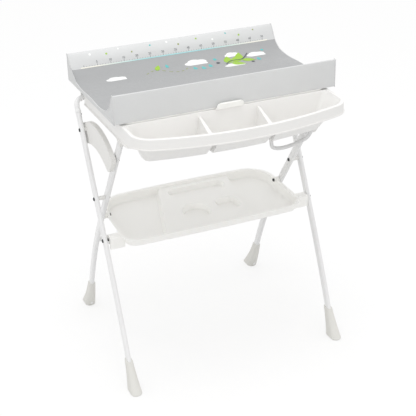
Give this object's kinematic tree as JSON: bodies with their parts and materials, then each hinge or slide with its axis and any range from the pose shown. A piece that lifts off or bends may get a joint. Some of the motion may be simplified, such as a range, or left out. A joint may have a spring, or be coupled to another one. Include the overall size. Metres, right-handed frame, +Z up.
{
  "type": "changing table with bathtub",
  "caption": "Folding changing table on crossed white tube legs, with a bath basin and a divided tray under a padded mat, and a moulded storage shelf below.",
  "frame": {"origin": "centre of the rectangle under the feet, on the floor", "axes": "+X to the user's right seen from the front, +Y from the user to the back, +Z up"},
  "size_m": [0.8512, 0.8331, 1.088],
  "materials": {
    "frame_paint": "gloss white powder coat",
    "foot_plastic": "matte light grey",
    "fitting_plastic": "satin white",
    "tub_plastic": "satin warm white moulding",
    "shelf_plastic": "translucent white moulding",
    "dark_steel": "dark zinc",
    "mat_vinyl": "light grey coated fabric with a small print",
    "hose_vinyl": "soft pale grey vinyl",
    "plug_rubber": "soft white rubber"
  },
  "bodies": {
    "outer_frame": {"outer_leg_left": "frame_paint", "outer_leg_right": "frame_paint", "rear_cross_tube": "frame_paint", "elbow_left": "frame_paint", "elbow_right": "frame_paint", "elbow_screws": "dark_steel", "front_foot_left": "foot_plastic", "front_foot_right": "foot_plastic", "pivot_bolt_left": "dark_steel", "pivot_bolt_right": "dark_steel", "pivot_spacer_left": "fitting_plastic", "pivot_spacer_right": "fitting_plastic", "arm_pin_left": "dark_steel", "arm_pin_right": "dark_steel", "shelf_peg_left": "dark_steel", "shelf_peg_right": "dark_steel"},
    "inner_frame": {"inner_leg_left": "frame_paint", "inner_leg_right": "frame_paint", "lower_cross_tube": "frame_paint", "rear_foot_left": "foot_plastic", "rear_foot_right": "foot_plastic", "tub_saddle_left": "fitting_plastic", "tub_saddle_right": "fitting_plastic", "arm_stud_left": "dark_steel", "arm_stud_right": "dark_steel", "shelf_bolt_left": "dark_steel", "shelf_bolt_right": "dark_steel"},
    "tub": {"bathtub": "tub_plastic", "tub_clip_left": "fitting_plastic", "tub_clip_right": "fitting_plastic", "drain_outlet": "fitting_plastic", "drain_hose": "hose_vinyl", "hose_clip": "fitting_plastic", "hose_cap": "plug_rubber"},
    "plug": {"drain_plug": "plug_rubber"},
    "mat": {"mat_board": "fitting_plastic", "changing_mat": "mat_vinyl"},
    "shelf": {"storage_shelf": "shelf_plastic"},
    "lock_arm_left": {"lock_arm_left": "fitting_plastic"},
    "lock_arm_right": {"lock_arm_right": "fitting_plastic"}
  },
  "joints": [
    {"name": "frame_fold", "type": "hinge", "parent": "outer_frame", "child": "inner_frame", "pos_m": [0, 0.03, 0.629], "axis": [-1, 0, 0], "range_deg": [0, 45]},
    {"name": "tub_tilt", "type": "hinge", "parent": "outer_frame", "child": "tub", "pos_m": [0, 0.19232, 0.95033], "axis": [-1, 0, 0], "range_deg": [0, 72]},
    {"name": "shelf_fold", "type": "hinge", "parent": "inner_frame", "child": "shelf", "pos_m": [0, 0.1078, 0.51623], "axis": [-1, 0, 0], "range_deg": [0, 45]},
    {"name": "lock_arm_left_lift", "type": "hinge", "parent": "outer_frame", "child": "lock_arm_left", "pos_m": [-0.395, 0.14137, 0.84947], "axis": [-1, 0, 0], "range_deg": [0, 54]},
    {"name": "lock_arm_right_lift", "type": "hinge", "parent": "outer_frame", "child": "lock_arm_right", "pos_m": [0.395, 0.14137, 0.84947], "axis": [-1, 0, 0], "range_deg": [0, 54]},
    {"name": "mat_lift", "type": "slide", "parent": "tub", "child": "mat", "axis": [0, 0, 1], "range_m": [0, 0.3]},
    {"name": "plug_lift", "type": "slide", "parent": "tub", "child": "plug", "axis": [0, 0, 1], "range_m": [0, 0.03]}
  ],
  "couplings": [
    {"joint": "tub_tilt", "follows": "frame_fold", "ratio": 1.6},
    {"joint": "shelf_fold", "follows": "frame_fold", "ratio": 1},
    {"joint": "lock_arm_left_lift", "follows": "frame_fold", "ratio": 1.2},
    {"joint": "lock_arm_right_lift", "follows": "frame_fold", "ratio": 1.2}
  ]
}
